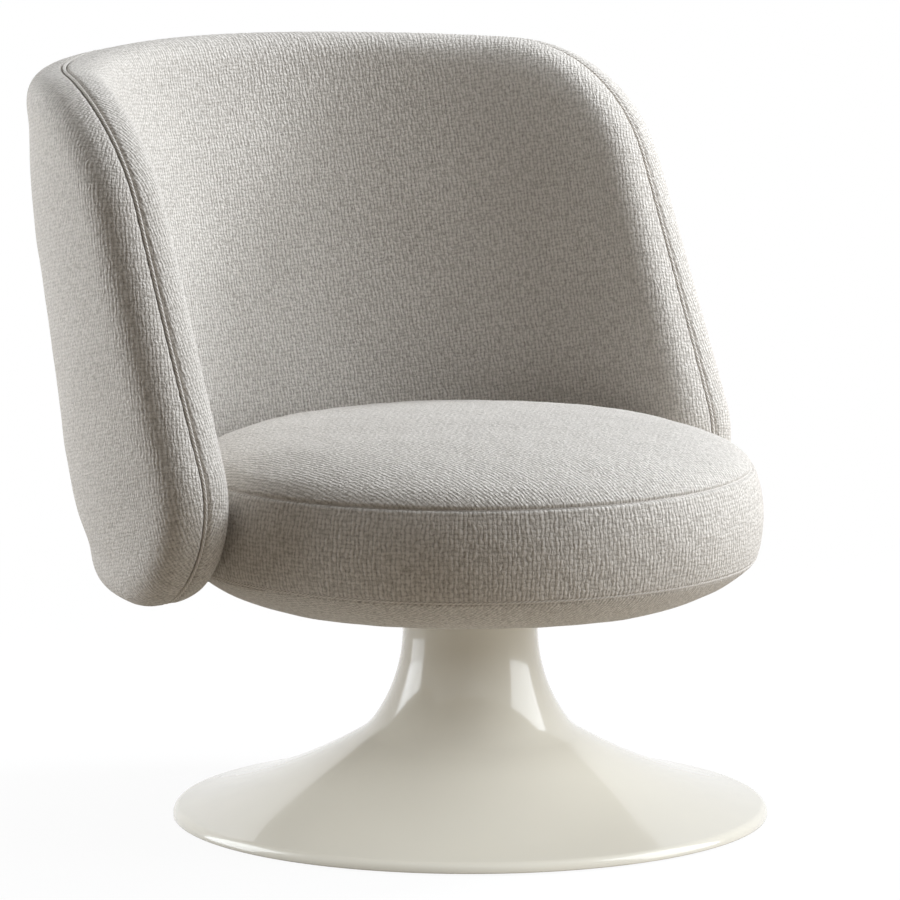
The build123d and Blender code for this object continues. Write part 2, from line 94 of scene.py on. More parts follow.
# Swelling of the covers: pressure, stiffness of the cloth and of its folds, drag of the air and frames
swell_pressure = 4.0
cloth_stiffness = 80.0
fold_stiffness = 40.0
air_drag = 5.0
swell_frames = 20

# Every how many rows and columns swell, and how often their moves are averaged round the cover
coarse_rows = 4
coarse_columns = 5
averages = 12

# Points nearer than this are one point
touching = 2e-6
pole_size = 1e-6


def length(name, description, default):
    """A length that a user may change."""
    return FloatProperty(name=name, description=description, default=default, unit="LENGTH", precision=4)


def turn(name, description, degrees):
    """An angle that a user may change, given in degrees."""
    return FloatProperty(name=name, description=description, default=np.radians(degrees), unit="ROTATION")


def amount(name, description, default):
    """A plain number that a user may change."""
    return FloatProperty(name=name, description=description, default=default)


def shade(name, description, default):
    """A colour that a user may change."""
    return FloatVectorProperty(
        name=name, description=description, default=default, subtype="COLOR", size=3, min=0, max=1
    )


class ArmchairSeat(bpy.types.PropertyGroup):
    """Sizes of the round seat cushion."""

    crown: length("Crown height", "Height of the middle of the seat", crown_high.z - crown_settle)
    crown_radius: length("Crown radius", "Radius of the gentle arc over the middle", 2.0)
    crown_reach: length("Crown reach", "Where the gentle arc hands over to the shoulder", 0.2)
    shoulder_radius: length("Shoulder radius", "Radius of the arc beyond the crown", 0.19)
    shoulder_slope: turn("Shoulder slope", "Slope at which that arc hands over to the edge", 25)
    upper_radius: length("Upper seam radius", "Radius of the seam round the top panel", 0.284)
    upper_height: length("Upper seam height", "Height of the seam round the top panel", 0.356)
    band_radius: length("Band radius", "Widest radius of the side band", band_high.x)
    lower_radius: length("Lower seam radius", "Radius of the seam under the band", 0.2875)
    lower_height: length("Lower seam height", "Height of the seam under the band", 0.264)
    under_height: length("Underside height", "Height of the flat underside", under_low.z)
    under_flat: length("Underside flat", "Radius of the flat middle of the underside", 0.1935)
    hole: length("Hole radius", "Radius of the hole for the swivel", 0.058)
    tuck: length("Tuck", "How far the cover turns up into that hole", 0.008)
    upper_piping: length("Upper piping radius", "Radius of the piping in the upper seam", 0.0012)
    upper_sink: length("Upper piping sink", "How far the middle of that piping lies under the cloth", 0.0038)
    lower_piping: length("Lower piping radius", "Radius of the piping in the lower seam", 0.0019)
    lower_sink: length("Lower piping sink", "How far the middle of that piping lies under the cloth", 0.0022)
    swell: length("Swell", "Most that the stuffing pushes the cover out", 0.002)


class ArmchairBack(bpy.types.PropertyGroup):
    """Sizes of the wrap-around back."""

    radius: length("Radius", "Radius of the seam round the back's leaning axis", 0.3422)
    thickness: length("Thickness", "Thickness of the pad at its rim", 0.0843)
    squareness: amount("Squareness", "2 gives a round rim, more a squarer one", 2.84)
    outer_crown: length("Outer crown", "How far the outer skin swells in the middle", 0.0100)
    inner_crown: length("Inner crown", "How far the inner skin swells in the middle", 0.0005)
    lean: turn("Lean", "Lean of the back from upright", 12.4)
    lean_height: length("Lean height", "Height at which the leaning axis crosses the swivel axis", 0.330)
    top: length("Top", "Height of the top edge in the middle of the back", 0.7536)
    top_slope: turn("Top slope", "Fall of the top edge towards the front", 1.6)
    bottom: length("Bottom", "Height of the bottom edge", 0.2385)
    wing_top: turn("Wing top", "Angle round the back at the top of the front edge", 80.75)
    wing_top_height: length("Wing top height", "Height of the top of the front edge", 0.7338)
    wing_bottom: turn("Wing bottom", "Angle round the back at the bottom of the front edge", 94.55)
    top_corner: length("Top corner", "Radius of the upper corners", 0.183)
    bottom_corner: length("Bottom corner", "Radius of the lower corners", 0.1075)
    piping: length("Piping radius", "Radius of the piping round the rim", 0.0017)
    sink: length("Piping sink", "How far the middle of the piping lies under the rim", 0.0020)
    swell: length("Swell", "Most that the stuffing pushes the cover out", 0.0015)


class ArmchairBase(bpy.types.PropertyGroup):
    """Sizes of the trumpet base."""

    neck: length("Neck radius", "Radius of the neck", 0.068)
    neck_top: length("Neck top", "Height of the top of the neck", base_high.z)
    flare: length("Flare height", "Height at which the neck starts to flare", 0.190563)
    upper_radius: length("Upper flare radius", "Radius of the first hollow arc", 0.160)
    upper_slope: turn("Upper flare slope", "Slope at the end of the first arc", 55)
    middle_radius: length("Middle flare radius", "Radius of the tight hollow arc", 0.055)
    middle_slope: turn("Middle flare slope", "Slope at the end of the tight arc", 31)
    lower_radius: length("Lower flare radius", "Radius of the long hollow arc", 0.600)
    lip_slope: turn("Lip slope", "Slope at the start of the lip", 12.526)
    lip: length("Lip radius", "Radius of the rounded lip", 0.0095)
    wall: length("Wall", "Thickness of the shell", 0.004)


class ArmchairFinish(bpy.types.PropertyGroup):
    """Colours and weave of the finishes."""

    cloth: shade("Cloth", "Colour of the top of the yarns", (0.70, 0.66, 0.612))
    # The gaps colour is painted shade: a darker colour laid in the low places between the yarns, standing in
    # for the shadow there
    gap: shade("Gaps", "Colour between the yarns", (0.32, 0.292, 0.258))
    lacquer: shade("Lacquer", "Colour of the base", (0.71, 0.67, 0.575))
    rib: length("Rib pitch", "Distance between the upright yarns", 0.0047)
    pick: length("Pick pitch", "Distance between the level yarns", 0.0044)
    tight: amount("Tight weave", "How much finer the weave lies on all but the seat's band", 1.2)


class ArmchairStudio(bpy.types.PropertyGroup):
    """Camera and light."""

    azimuth: turn("Azimuth", "Turn of the camera round the chair", -42.0)
    elevation: turn("Elevation", "Height of the camera above level", 8.75)
    distance: length("Distance", "Distance of the camera from the chair", 7.0)
    aim: length("Aim height", "Height that the camera looks at", 0.3705)
    lens: amount("Lens", "Focal length in millimetres", 279.4)
    shift: amount("Shift", "Sideways shift of the picture", -0.0225)
    ambient: amount("Ambient", "Strength of the light from all round", 0.285)
    light: shade("Light", "Colour of the softboxes", (0.885, 0.94, 1.0))
    bounce: shade("Bounce", "Colour of the light that floor and walls give back", (0.44, 0.38, 0.31))


def arc(start, heading, radius, angle, count):
    """Points of a circular arc: it leaves start along heading and turns left by angle, right if negative."""
    left = np.array([-heading[1], heading[0]]) * np.sign(angle)
    centre = np.asarray(start) + radius * left
    steps = np.linspace(0, abs(angle), count)[:, None]
    return centre + radius * (np.sin(steps) * np.asarray(heading) - np.cos(steps) * left)


def arc_to(start, heading, end, count):
    """Points of the circular arc that leaves start along heading and ends at end."""
    start, heading, end = (np.asarray(item, float) for item in (start, heading, end))
    chord = end - start
    left = np.array([-heading[1], heading[0]])
    half = np.arctan2(chord @ left, chord @ heading)
    radius = np.linalg.norm(chord) / (2 * abs(np.sin(half)))
    return arc(start, heading, radius, 2 * half, count)


def arc_through(start, middle, end, count):
    """Points of the circular arc through three points, whose centre is equally far from all of them."""
    start, middle, end = (np.asarray(item, float) for item in (start, middle, end))
    chords = np.stack([middle - start, end - start])
    centre = np.linalg.solve(2 * chords, [middle @ middle - start @ start, end @ end - start @ start])
    spoke = (start - centre) / np.linalg.norm(start - centre)
    heading = np.array([-spoke[1], spoke[0]])
    heading *= np.sign(heading @ (middle - start))
    return arc_to(start, heading, end, count)


def run_lengths(line):
    """Distance along a line of points, from its first point to each."""
    return np.concatenate([[0], np.cumsum(np.linalg.norm(np.diff(line, axis=0), axis=1))])


def crowded(count, crowd=0.75):
    """Numbers from 0 to 1, closer together at both ends: a straight run less a share of a sine."""
    even = np.linspace(0, 1, count)
    return even - crowd * np.sin(2 * np.pi * even) / (2 * np.pi)


def along(line, shares):
    """Points at shares of a line's length, read off between its own points."""
    far = run_lengths(line)
    return np.stack([np.interp(shares * far[-1], far, part) for part in line.T], axis=-1)


def soft_waves(across, up, longest, seed):
    """Smooth unevenness between about -1 and 1: a few sine waves of seeded headings and lengths, added."""
    chance = np.random.default_rng(seed)
    total = np.zeros(np.broadcast(across, up).shape)
    for share in wave_shares:
        heading, phase = chance.uniform(0, 2 * np.pi, 2)
        wave = 2 * np.pi / (longest * share)
        total += share * np.sin(wave * (np.cos(heading) * across + np.sin(heading) * up) + phase)
    return total / wave_level


def stitch_waves(lap, count, first, second):
    """A wave round a seam, count to a lap, whose pace drifts with two slower waves added inside its sine."""
    return np.sin(count * lap + 3 * np.sin(first * lap) + 2 * np.sin(second * lap))


def puckers(distance, size, reach, waves):
    """How far stitches pull the cloth in and out: waves that die away from the seam and are nil on it."""
    return size * (np.exp(-distance / reach) * (distance > 0))[:, None] * waves


def seam_dip(distance, depth, spread):
    """How far cloth is drawn in near a seam: a bell curve of the distance from it."""
    return depth * np.exp(-(distance / spread) ** 2)


def quad_mesh(name, points, faces):
    """A mesh of points and of faces with four corners each."""
    mesh = bpy.data.meshes.new(name)
    mesh.vertices.add(len(points))
    mesh.vertices.foreach_set("co", points.ravel())
    mesh.loops.add(faces.size)
    mesh.loops.foreach_set("vertex_index", faces.ravel().astype(np.int32))
    mesh.polygons.add(len(faces))
    mesh.polygons.foreach_set("loop_start", np.arange(0, faces.size, 4, dtype=np.int32))
    mesh.update(calc_edges=True)
    return mesh


def sewn_mesh(name, sheets):
    """A mesh of grids of points with their own flat cloth coordinates, joined where their edges meet."""
    points, corners, cloth, count = [], [], [], 0
    for grid, flat in sheets:
        rows, columns = grid.shape[:2]
        number = np.arange(rows * columns).reshape(rows, columns)
        quads = np.stack([number[:-1, :-1], number[1:, :-1], number[1:, 1:], number[:-1, 1:]], axis=-1)
        points.append(grid.reshape(-1, 3))
        corners.append(quads.reshape(-1, 4) + count)
        cloth.append(flat.reshape(-1, 2)[quads.reshape(-1)])
        count += rows * columns
    mesh = quad_mesh(name, np.concatenate(points), np.concatenate(corners))
    mesh.uv_layers.new(name="cloth").data.foreach_set("uv", np.concatenate(cloth).ravel())
    sewn = bmesh.new()
    sewn.from_mesh(mesh)
    bmesh.ops.remove_doubles(sewn, verts=sewn.verts, dist=touching)
    sewn.to_mesh(mesh)
    sewn.free()
    mesh.polygons.foreach_set("use_smooth", np.ones(len(mesh.polygons), bool))
    mesh.update()
    return mesh


def add_piece(name, sheets, body, slot, material, *nodes):
    """A new piece that rides on a body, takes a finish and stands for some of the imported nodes."""
    piece = bpy.data.objects.new(name, sewn_mesh(name, sheets))
    bpy.context.scene.collection.objects.link(piece)
    piece.data.materials.append(material)
    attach(piece, body)
    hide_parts(*nodes)
    return piece


class Wiring:
    """A new material, or a world, and short calls that add a node, link it and give back its output."""

    def __init__(self, name, world=None):
        self.material = world or bpy.data.materials.new(name)
        self.material.use_nodes = True
        self.nodes = self.material.node_tree.nodes
        self.links = self.material.node_tree.links
        self.shader = self.nodes.get("Principled BSDF")

    def put(self, node, socket, value):
        """Links an output to a socket, or sets the socket to a plain value."""
        if isinstance(value, bpy.types.NodeSocket):
            self.links.new(value, node.inputs[socket])
        else:
            node.inputs[socket].default_value = value

    def add(self, kind, inputs, output=0, **settings):
        """Adds a node, gives it its settings and inputs, and hands back one of its outputs."""
        node = self.nodes.new(kind)
        for key, value in settings.items():
            setattr(node, key, value)
        for socket, value in inputs.items():
            self.put(node, socket, value)
        return node.outputs[output]

    def math(self, operation, *values):
        """A sum on single numbers."""
        return self.add("ShaderNodeMath", dict(enumerate(values)), operation=operation)

    def vector(self, operation, *values):
        """A sum on vectors."""
        return self.add("ShaderNodeVectorMath", dict(enumerate(values)), operation=operation)

    def noise(self, place, scale, detail=2.0, output="Fac"):
        """Cloudy noise, scale in clouds per metre."""
        return self.add("ShaderNodeTexNoise", {"Vector": place, "Scale": scale, "Detail": detail}, output)

    def mix(self, share, first, second):
        """A colour between two others."""
        return self.add("ShaderNodeMix", {0: share, 6: first, 7: second}, 2, data_type="RGBA")

    def between(self, value, low, high, new_low=0.0, new_high=1.0, kind="LINEAR"):
        """A value moved from one span to another and kept to it."""
        inputs = {0: value, 1: low, 2: high, 3: new_low, 4: new_high}
        return self.add("ShaderNodeMapRange", inputs, interpolation_type=kind)

    def bump(self, height, distance, strength=1.0):
        """Relief from a height."""
        return self.add("ShaderNodeBump", {"Height": height, "Distance": distance, "Strength": strength})

    def set(self, **values):
        """Sets or links the shader's own sockets, named with underscores."""
        for key, value in values.items():
            self.put(self.shader, key.replace("_", " "), value)
        return self.material


def opaque(colour, share=1.0):
    """A colour with a fourth number of 1, made lighter or darker by a share."""
    return (*(min(1.0, part * share) for part in colour), 1.0)


def wandered(wire, place, cloth, scale, across, up):
    """A place on the cloth moved by cloudy noise of a scale, up to half of across and up either way."""
    drift = wire.vector("SUBTRACT", wire.noise(cloth, scale, 1.0, "Color"), (0.5, 0.5, 0.5))
    return wire.vector("MULTIPLY_ADD", drift, (across, up, 0.0), place)


def yarn(wire, wave, place, share):
    """Height of one set of yarns: a rounded wave, broken into strokes by noise at a stretched place."""
    roundness = 0.8
    strokes_per_metre = 260.0
    strokes = wire.between(wire.noise(place, strokes_per_metre, 1.5), 0.33, 0.62, 0.3, 1.0)
    rounded = wire.math("POWER", wire.math("ABSOLUTE", wave), roundness)
    return wire.math("MULTIPLY", wire.math("MULTIPLY", rounded, strokes), share)


def woven_cloth(finish):
    """Coarse weave: wobbling upright ribs in short strokes, crossed by weaker level picks, with fuzz and
    painted shade between the yarns.
    """
    made = bpy.data.materials.get("greige_weave")
    if made:
        return made
    slow_wobble, quick_wobble = 0.0050, 0.0042
    stretch = 0.35
    slub_share, strand_share, fuzz_share = 0.40, 0.70, 0.25
    gap_height, top_height = 0.70, 1.30
    relief_depth = 0.0011
    wire = Wiring("greige_weave")
    cloth = wire.add("ShaderNodeUVMap", {}, uv_map="cloth")
    place = wandered(wire, cloth, cloth, 45.0, slow_wobble, slow_wobble)
    place = wandered(wire, place, cloth, 160.0, quick_wobble, quick_wobble)
    parts = wire.nodes.new("ShaderNodeSeparateXYZ")
    wire.links.new(place, parts.inputs[0])
    across = wire.math("COSINE", wire.math("MULTIPLY", parts.outputs[0], np.pi / finish.rib))
    up = wire.math("COSINE", wire.math("MULTIPLY", parts.outputs[1], np.pi / finish.pick))
    # Where a rib passes over a pick it lies higher, and the pick lower
    over = wire.between(wire.math("MULTIPLY", across, up), -0.6, 0.5, kind="SMOOTHSTEP")
    lifted = wire.math("MULTIPLY_ADD", over, 0.40, 0.35)
    laid = wire.math("MULTIPLY_ADD", over, -0.20, 0.42)
    long_up = wire.vector("MULTIPLY", cloth, (1.0, stretch, 1.0))
    long_across = wire.vector("MULTIPLY", cloth, (stretch, 1.0, 1.0))
    height = wire.math("ADD", yarn(wire, across, long_up, lifted), yarn(wire, up, long_across, laid))
    height = wire.math("MULTIPLY_ADD", wire.noise(cloth, 300.0), slub_share, height)
    height = wire.math("MULTIPLY_ADD", wire.noise(long_up, 420.0), strand_share, height)
    height = wire.math("MULTIPLY_ADD", wire.noise(cloth, 900.0), fuzz_share, height)
    # Painted shade: the low places of the weave take the darker gap colour, as if shadowed between the yarns,
    # and the high places the cloth colour
    colour = wire.mix(wire.between(height, gap_height, top_height), opaque(finish.gap), opaque(finish.cloth))
    fleck = wire.between(wire.noise(cloth, 520.0), 0.40, 0.70, 0.0, 0.35)
    colour = wire.mix(fleck, colour, opaque(finish.cloth, 1.08))
    cloud = wire.between(wire.noise(cloth, 9.0, 3.0), 0.3, 0.7, 0.0, 0.10)
    # Large random clouds of tone, darker towards that same colour
    colour = wire.mix(cloud, colour, opaque(finish.gap))
    rough = wire.between(height, 0.6, 1.4, 0.98, 0.86)
    relief = wire.bump(height, relief_depth)
    return wire.set(Base_Color=colour, Roughness=rough, Normal=relief, Sheen_Weight=0.15, Sheen_Roughness=0.5,
                    Specular_IOR_Level=0.2)


def piping_cloth(finish):
    """The same yarn cut on the slant: fine ribs that run round the piping at 45 degrees, with painted shade in
    the grooves between them.
    """
    made = bpy.data.materials.get("greige_piping")
    if made:
        return made
    wobble_along, wobble_round = 0.0016, 0.0012
    fuzz_share = 0.3
    relief_depth = 0.0007
    wire = Wiring("greige_piping")
    cloth = wire.add("ShaderNodeUVMap", {}, uv_map="cloth")
    place = wandered(wire, cloth, cloth, 150.0, wobble_along, wobble_round)
    parts = wire.nodes.new("ShaderNodeSeparateXYZ")
    wire.links.new(place, parts.inputs[0])
    slant = wire.math("ADD", parts.outputs[0], parts.outputs[1])
    rib = wire.math("ABSOLUTE", wire.math("COSINE", wire.math("MULTIPLY", slant, np.pi / finish.rib)))
    fuzz = wire.noise(cloth, 1000.0, 3.0)
    height = wire.math("MULTIPLY_ADD", fuzz, fuzz_share, wire.math("POWER", rib, 0.6))
    # Painted shade: the grooves between the ribs take a darker colour, as if shadowed, and the tops of the
    # ribs the cloth colour
    colour = wire.mix(wire.between(height, 0.1, 0.8), opaque(finish.gap, 1.25), opaque(finish.cloth, 1.04))
    relief = wire.bump(height, relief_depth)
    rough = wire.between(height, 0.1, 1.2, 0.98, 0.88)
    return wire.set(Base_Color=colour, Roughness=rough, Normal=relief, Sheen_Weight=0.18, Sheen_Roughness=0.5,
                    Specular_IOR_Level=0.2)


def gloss_lacquer(finish):
    """Thick cream lacquer: even colour with a faint drift, a slight orange peel and a clear coat."""
    wire = Wiring("cream_lacquer")
    place = wire.add("ShaderNodeTexCoord", {}, "Object")
    drift = wire.between(wire.noise(place, 5.0, 2.0), 0.3, 0.7)
    colour = wire.mix(drift, opaque(finish.lacquer, 0.985), opaque(finish.lacquer, 1.015))
    rough = wire.between(wire.noise(place, 40.0, 3.0), 0.3, 0.7, 0.16, 0.21)
    peel = wire.bump(wire.noise(place, 160.0, 2.0), 0.0002, 0.12)
    return wire.set(Base_Color=colour, Roughness=rough, Normal=peel, Specular_IOR_Level=0.25,
                    Coat_Weight=0.6, Coat_Roughness=0.05)


def brushed_metal(name, colour, rough, grain):
    """Metal with fine turned grain: noise squeezed along the height."""
    wire = Wiring(name)
    place = wire.add("ShaderNodeTexCoord", {}, "Object")
    lined = wire.vector("MULTIPLY", place, (1.0, 1.0, 14.0))
    streak = wire.noise(lined, grain, 4.0)
    tint = wire.mix(streak, opaque(colour, 0.86), opaque(colour, 1.06))
    dull = wire.between(streak, 0.3, 0.7, rough * 0.8, rough * 1.25)
    return wire.set(Base_Color=tint, Metallic=1.0, Roughness=dull, Normal=wire.bump(streak, 0.0001, 0.3))


def matt_grain(name, colour, shades, smooth, rough, grain, detail=3.0, strength=0.5):
    """Powder coat, nylon, rubber or foam: an even colour with a fine matt grain of cloudy noise."""
    wire = Wiring(name)
    place = wire.add("ShaderNodeTexCoord", {}, "Object")
    skin = wire.noise(place, grain, detail)
    tint = wire.mix(skin, opaque(colour, shades[0]), opaque(colour, shades[1]))
    dull = wire.between(skin, 0.3, 0.7, smooth, rough)
    return wire.set(Base_Color=tint, Roughness=dull, Normal=wire.bump(skin, 0.0002, strength))


def beech_ply(name):
    """Plywood: light and dark layers up its height with stretched grain on its faces."""
    wire = Wiring(name)
    place = wire.add("ShaderNodeTexCoord", {}, "Object")
    stretched = wire.vector("MULTIPLY", place, (6.0, 90.0, 6.0))
    grain = wire.noise(stretched, 4.0, 4.0)
    parts = wire.nodes.new("ShaderNodeSeparateXYZ")
    wire.links.new(place, parts.inputs[0])
    veneer = 0.0015
    layer = wire.math("SINE", wire.math("MULTIPLY", parts.outputs[2], np.pi / veneer))
    share = wire.math("MULTIPLY_ADD", layer, 0.25, grain)
    tint = wire.mix(wire.between(share, 0.2, 0.9), (0.36, 0.22, 0.12, 1), (0.66, 0.48, 0.30, 1))
    dull = wire.between(grain, 0.3, 0.7, 0.6, 0.8)
    return wire.set(Base_Color=tint, Roughness=dull, Normal=wire.bump(grain, 0.0002, 0.5))


def blown_up(skin, held):
    """How far each point of a coarse skin, closed round its columns, moves along its normal under pressure.

    Blender's cloth simulation pushes the skin out without gravity, with the held rows sewn down."""
    rows, columns = skin.shape[:2]
    number = np.arange(rows * columns).reshape(rows, columns)
    ahead = np.roll(number, -1, axis=1)
    faces = np.stack([number[:-1], number[1:], ahead[1:], ahead[:-1]], axis=-1).reshape(-1, 4)
    mesh = quad_mesh("swelling_skin", skin.reshape(-1, 3), faces)
    piece = bpy.data.objects.new("swelling_skin", mesh)
    scene = bpy.context.scene
    scene.collection.objects.link(piece)
    piece.vertex_groups.new(name="sewn").add(number[held].ravel().tolist(), 1.0, "REPLACE")
    cloth = piece.modifiers.new("swelling", "CLOTH").settings
    cloth.vertex_group_mass = "sewn"
    cloth.use_pressure = True
    cloth.uniform_pressure_force = swell_pressure
    cloth.effector_weights.gravity = 0.0
    cloth.tension_stiffness = cloth.compression_stiffness = cloth.shear_stiffness = cloth_stiffness
    cloth.bending_stiffness = fold_stiffness
    cloth.air_damping = air_drag
    for step in range(swell_frames):
        scene.frame_set(1 + step)
    shown = piece.evaluated_get(bpy.context.evaluated_depsgraph_get())
    moved, facing = np.empty(skin.size, np.float32), np.empty(skin.size, np.float32)
    shown.data.vertices.foreach_get("co", moved)
    mesh.vertices.foreach_get("normal", facing)
    away = (moved - skin.ravel()) * facing
    bpy.data.objects.remove(piece)
    bpy.data.meshes.remove(mesh)
    scene.frame_set(1)
    return away.reshape(rows, columns, 3).sum(axis=-1)


def smooth_read(values, places):
    """Rows of values read at places between them, on cubic curves through the four nearest rows."""
    low = np.clip(places.astype(int), 0, len(values) - 2)
    part = (places - low)[:, None]
    before, here, after, beyond = (values[np.clip(low + step, 0, len(values) - 1)] for step in (-1, 0, 1, 2))
    bend = (2 * before - 5 * here + 4 * after - beyond) * part**2
    bend += (3 * (here - after) + beyond - before) * part**3
    return here + ((after - before) * part + bend) / 2


def stuffed(grid, held, cap):
    """A closed grid of points pushed out along its normals as stuffing swells its cover, by cap at most.

    A coarse copy, some of its rows and columns, goes through the cloth simulation. Its moves, kept under cap
    by a hyperbolic tangent, are read back smoothly between its points; held rows stay."""
    overlap = 3
    opening = 0.3
    ring = grid[:, :-1]
    rows, columns = ring.shape[:2]
    picked = np.unique(np.concatenate([np.arange(0, rows, coarse_rows), held, [rows - 1]]))
    coarse = ring[picked][:, ::coarse_columns].copy()
    # The first row may be one point, so it is opened a little
    pole = np.ptp(grid[0], axis=0).max() < pole_size
    coarse[0] = (1 - opening) * coarse[0] + opening * coarse[1]
    push = cap * np.tanh(blown_up(coarse, np.isin(picked, held)) / cap)
    for again in range(averages):
        push = (np.roll(push, 1, axis=1) + 2 * push + np.roll(push, -1, axis=1)) / 4
    if pole:
        push[0] = push[0].mean()
    push = smooth_read(push, np.interp(np.arange(rows), picked, np.arange(len(picked))))
    round_again = np.concatenate([push[:, -overlap:], push, push[:, :overlap]], axis=1)
    push = smooth_read(round_again.T, overlap + np.arange(columns) / coarse_columns).T
    push[held] = 0
    down = np.gradient(ring, axis=0)
    normal = np.cross(down, np.roll(ring, -1, axis=1) - np.roll(ring, 1, axis=1))
    if pole:
        normal[0] = normal[1].mean(axis=0)
    normal /= np.maximum(np.linalg.norm(normal, axis=-1, keepdims=True), 1e-12)
    moved = ring + push[..., None] * normal
    return np.concatenate([moved, moved[:, :1]], axis=1)


def seat_runs(seat):
    """The seat's half section as radius and height: top panel, band and underside with its tucked hole."""
    turned = np.arcsin(seat.crown_reach / seat.crown_radius)
    upper = (seat.upper_radius, seat.upper_height)
    lower = (seat.lower_radius, seat.lower_height)
    crown = arc((0, seat.crown), (1, 0), seat.crown_radius, -turned, 60)
    heading = (np.cos(turned), -np.sin(turned))
    shoulder = arc(crown[-1], heading, seat.shoulder_radius, turned - seat.shoulder_slope, 60)
    heading = (np.cos(seat.shoulder_slope), -np.sin(seat.shoulder_slope))
    edge = arc_to(shoulder[-1], heading, upper, 60)
    middle = (seat.band_radius, (seat.upper_height + seat.lower_height) / 2)
    band = arc_through(upper, middle, lower, 80)
    under = arc_to((seat.under_flat, seat.under_height), (1, 0), lower, 80)[::-1]
    inside = seat.under_height + seat.tuck
    tucked = [(seat.hole, seat.under_height), (seat.hole, inside), (0, inside)]
    return np.concatenate([crown, shoulder[1:], edge[1:]]), band, np.concatenate([under, tucked])


def outward(line):
    """Unit normals of a section line that runs down its right side: each tangent turned a quarter left."""
    tangent = np.gradient(line, axis=0)
    tangent /= np.linalg.norm(tangent, axis=1, keepdims=True)
    return np.stack([-tangent[:, 1], tangent[:, 0]], axis=-1)


def spun(line, around):
    """Grid of a section line carried round the swivel axis: radius times cosine and sine, and height."""
    radius, height = line[..., 0], line[..., 1]
    return np.stack([radius * np.cos(around), radius * np.sin(around), height + 0 * around], axis=-1)


def seat_panels(seat):
    """Section lines of the seat's three panels, with more points by the seams, and unit normals of each."""
    lines = [along(run, crowded(rows, 0.8)) for run, rows in zip(seat_runs(seat), seat_rows)]
    facing = outward(np.concatenate([lines[0], lines[1][1:], lines[2][1:]]))
    starts = np.cumsum([0] + [len(line) - 1 for line in lines])
    return lines, [facing[start:end + 1] for start, end in zip(starts, starts[1:])]


def build_seat(seat, finish):
    """The seat cushion: its half section spun round, drawn in at both seams and faintly uneven."""
    level_by, unevenness, wave_length, seed = 0.03, 0.0007, 0.16, 11
    pucker_size, pucker_reach = 0.00035, 0.010
    by_hole = seat.hole + 0.02
    around = np.linspace(0, 2 * np.pi, seat_points)[None, :]
    stitch = stitch_waves(around, 150, 7, 23)
    sheets = []
    for number, (line, normal) in enumerate(zip(*seat_panels(seat))):
        far = run_lengths(line)
        span = far[-1]
        ends = (span - far, np.minimum(far, span - far), far)[number]
        fade = 1 - np.exp(-(ends / level_by) ** 2)[:, None]
        if number == 1:
            flat = np.stack(np.broadcast_arrays(around * seat.band_radius, -far[:, None]), axis=-1)
        else:
            reach = (far if number == 0 else span - far)[:, None]
            flat = finish.tight * np.stack([reach * np.cos(around), reach * np.sin(around)], axis=-1)
        across, deep, height = np.moveaxis(spun(line[:, None, :], around), -1, 0)
        uneven = unevenness * fade * soft_waves(across + 0.6 * height, deep - 0.8 * height, wave_length, seed)
        pucker = puckers(ends, pucker_size, pucker_reach, stitch)
        push = uneven + pucker - seam_dip(ends, *seat_groove)[:, None]
        if number == 2:
            push[line[:, 0] < by_hole] = 0
        grid = spun(line[:, None, :] + push[..., None] * normal[:, None, :], around)
        held = np.arange(len(line))[(ends == 0) | (number == 2) & (line[:, 0] < seat.under_flat)]
        sheets.append((stuffed(grid, held, seat.swell), flat))
    piece = add_piece("seat_cushion", sheets, "seat", "upholstery", woven_cloth(finish),
                      "seat_foam", "seat_top_panel", "seat_band", "seat_under_panel")


def tube(path, side, rise, radius, rib):
    """A corded tube along a closed path: radius, with slanting ribs, times the two unit side directions.

    The ribs are a cosine of the distance along the path less the turn round it, four of them to a turn."""
    ribs, rib_depth = 4, 0.03
    turns = np.linspace(0, 2 * np.pi, piping_turn_points)[None, :]
    far = run_lengths(path)
    share = far[:, None] / far[-1]
    count = round(far[-1] / rib)
    slant = count * share - ribs * turns / (2 * np.pi)
    ribbed = (radius * (1 + rib_depth * np.cos(2 * np.pi * slant)))[..., None]
    spoke = np.cos(turns)[..., None] * side[:, None, :] + np.sin(turns)[..., None] * rise[:, None, :]
    cloth = np.stack(np.broadcast_arrays(rib * count * share, -ribs * rib * turns / (2 * np.pi)), axis=-1)
    return path[:, None, :] + ribbed * spoke, cloth


def build_seat_piping(seat, finish):
    """The two seat pipings: tubes round the seams, standing a little proud of the drawn-in cloth."""
    around = np.linspace(0, 2 * np.pi, seat_piping_points)
    side = np.stack([np.cos(around), np.sin(around), 0 * around], axis=-1)
    rise = np.broadcast_to((0.0, 0.0, 1.0), side.shape)
    lines, normals = seat_panels(seat)
    for name, node, panel, radius, sink in (
        ("upper_seat_piping", "upper_seat_welt", 1, seat.upper_piping, seat.upper_sink),
        ("lower_seat_piping", "lower_seat_welt", 2, seat.lower_piping, seat.lower_sink),
    ):
        seam = lines[panel][0] - sink * normals[panel][0]
        path = seam[0] * side + (0, 0, seam[1])
        sheet = tube(path, side, rise, radius, finish.rib)
        add_piece(name, [sheet], "seat", "welt_fabric", piping_cloth(finish), node)


def corner_between(curve, inward, line_point, line_inward, radius):
    """Where a round corner touches a curve and a line: share of the curve's length, centre and both feet."""
    shares = run_lengths(curve) / run_lengths(curve)[-1]
    centres = curve + radius * inward
    reach = (centres - line_point) @ line_inward
    share = np.interp(-radius, -reach, shares)
    foot, spot = (np.array([np.interp(share, shares, part) for part in line.T]) for line in (curve, centres))
    return share, spot, foot, spot - radius * line_inward


def sweep(centre, start, end, count):
    """Points of the shorter arc from start to end about centre."""
    first, last = start - centre, end - centre
    begin = np.arctan2(first[1], first[0])
    span = np.arctan2(first[0] * last[1] - first[1] * last[0], first @ last)
    steps = begin + span * np.linspace(0, 1, count)
    return centre + np.linalg.norm(first) * np.stack([np.cos(steps), np.sin(steps)], axis=-1)


